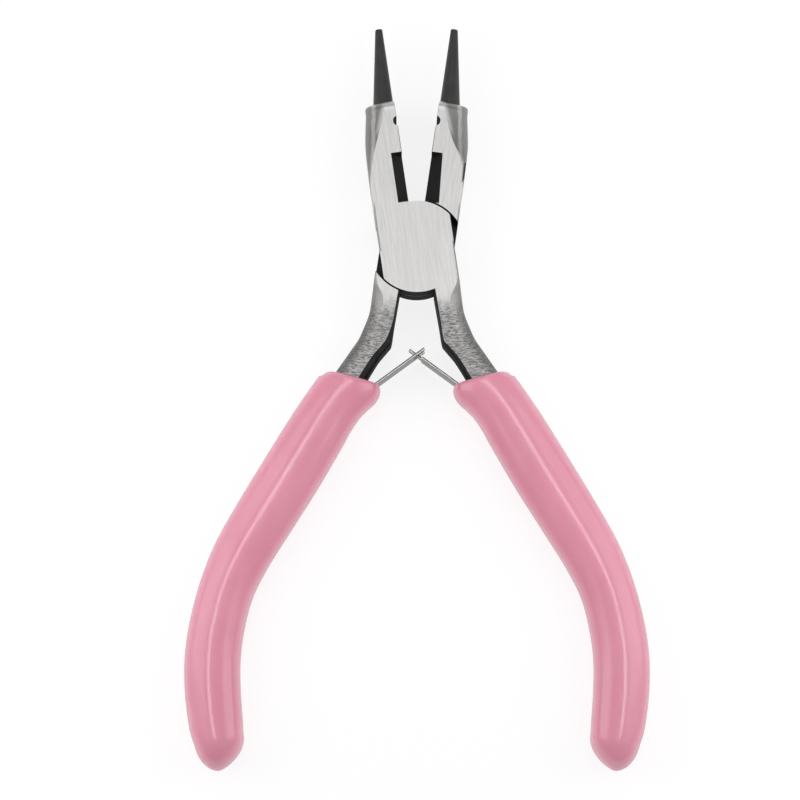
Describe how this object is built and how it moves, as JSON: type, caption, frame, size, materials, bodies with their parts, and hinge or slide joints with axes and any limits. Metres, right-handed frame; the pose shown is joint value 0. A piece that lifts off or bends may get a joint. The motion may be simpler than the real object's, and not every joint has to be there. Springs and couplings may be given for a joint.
{
  "type": "round nose pliers",
  "caption": "Small jewellery pliers with tapered round noses, a wire notch, a side cutter, a lap joint, interlocking leaf springs and dipped pink grips.",
  "frame": {"origin": "on the pivot's axis, at the head's ground back face", "axes": "+Y towards the jaw tips along the line of symmetry, +X to the right, +Z out of the front face; the pliers lie flat and stand open on their springs"},
  "size_m": [0.0766, 0.1247, 0.0094],
  "materials": {
    "ground_steel": "ground flats, forged grey sides, black oxide on the cones and inner faces",
    "rivet_steel": "ground",
    "spring_steel": "bright rolled strip",
    "pink_vinyl": "dipped, satin gloss"
  },
  "bodies": {
    "front_half": {"front_lever": "ground_steel", "pivot_rivet": "rivet_steel", "grip_right": "pink_vinyl", "spring_foot_right": "spring_steel", "spring_rivet_right": "rivet_steel"},
    "back_half": {"back_lever": "ground_steel", "grip_left": "pink_vinyl", "spring_foot_left": "spring_steel", "spring_rivet_left": "rivet_steel"},
    "right_spring": {"spring_blade_right": "spring_steel"},
    "left_spring": {"spring_blade_left": "spring_steel"}
  },
  "joints": [
    {"name": "pliers_hinge", "type": "hinge", "parent": "front_half", "child": "back_half", "pos_m": [0, 0, 0], "axis": [0, 0, 1], "range_deg": [0, 16.6], "stiffness_Nm_per_rad": 0.8},
    {"name": "spring_flex_right", "type": "hinge", "parent": "front_half", "child": "right_spring", "pos_m": [0.00664, -0.02268, 0.0043], "axis": [0, 0, 1], "range_deg": [-22, 0]},
    {"name": "spring_flex_left", "type": "hinge", "parent": "back_half", "child": "left_spring", "pos_m": [-0.00664, -0.02268, 0.0043], "axis": [0, 0, 1], "range_deg": [0, 22]}
  ],
  "couplings": [
    {"joint": "spring_flex_right", "follows": "pliers_hinge", "ratio": -1.31},
    {"joint": "spring_flex_left", "follows": "pliers_hinge", "ratio": 1.31}
  ]
}
